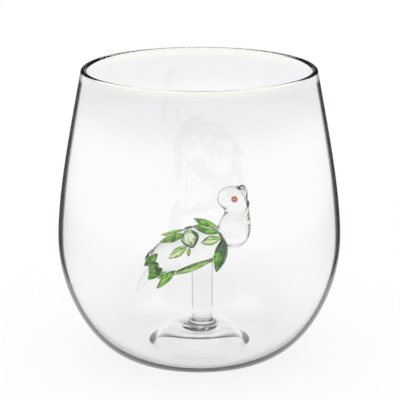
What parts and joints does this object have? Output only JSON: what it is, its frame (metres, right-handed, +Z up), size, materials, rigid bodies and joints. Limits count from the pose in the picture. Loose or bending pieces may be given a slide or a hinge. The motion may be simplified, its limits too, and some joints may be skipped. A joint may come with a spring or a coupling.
{
  "type": "stemless glass tumbler with a glass bird inside",
  "caption": "Rounded clear glass tumbler with a raised floor and a small glass bird with green leaf feathers on a short clear rod inside it",
  "frame": {"origin": "on the table, at the middle of the flat ring the tumbler stands on", "axes": "+Z up along the tumbler's axis, +X the way the bird faces"},
  "size_m": [0.102, 0.102, 0.105],
  "materials": {
    "bowl_glass": "clear, blown, fire-polished",
    "rod_glass": "clear, drawn",
    "bird_glass": "clear, flame-worked",
    "eye_glass": "orange-red, opaque, glossy",
    "dark_green": "dark transparent green",
    "deep_green": "deep transparent green",
    "leaf_green": "bright transparent green",
    "pale_green": "pale transparent green",
    "olive_green": "faint olive tint",
    "lime_green": "yellow-green"
  },
  "bodies": {
    "root": {"bowl": "bowl_glass", "stem_foot": "rod_glass", "stem": "rod_glass", "body": "bird_glass", "neck": "bird_glass", "head": "bird_glass", "upper_beak": "bird_glass", "lower_beak": "bird_glass", "tail": "bird_glass", "eye_right": "eye_glass", "eye_left": "eye_glass", "wing_right": "deep_green", "wing_left": "deep_green", "back_right": "leaf_green", "back_left": "leaf_green", "mantle_right": "olive_green", "mantle_left": "olive_green", "shoulder_right": "pale_green", "shoulder_left": "pale_green", "flank_right": "pale_green", "flank_left": "pale_green", "bead_right": "lime_green", "bead_left": "lime_green", "rump_right": "deep_green", "rump_left": "deep_green", "covert_right": "dark_green", "covert_left": "dark_green", "thigh_right": "leaf_green", "thigh_left": "leaf_green", "belly_right": "pale_green", "belly_left": "pale_green", "breast_feather_right": "dark_green", "breast_feather_left": "dark_green"}
  },
  "joints": []
}
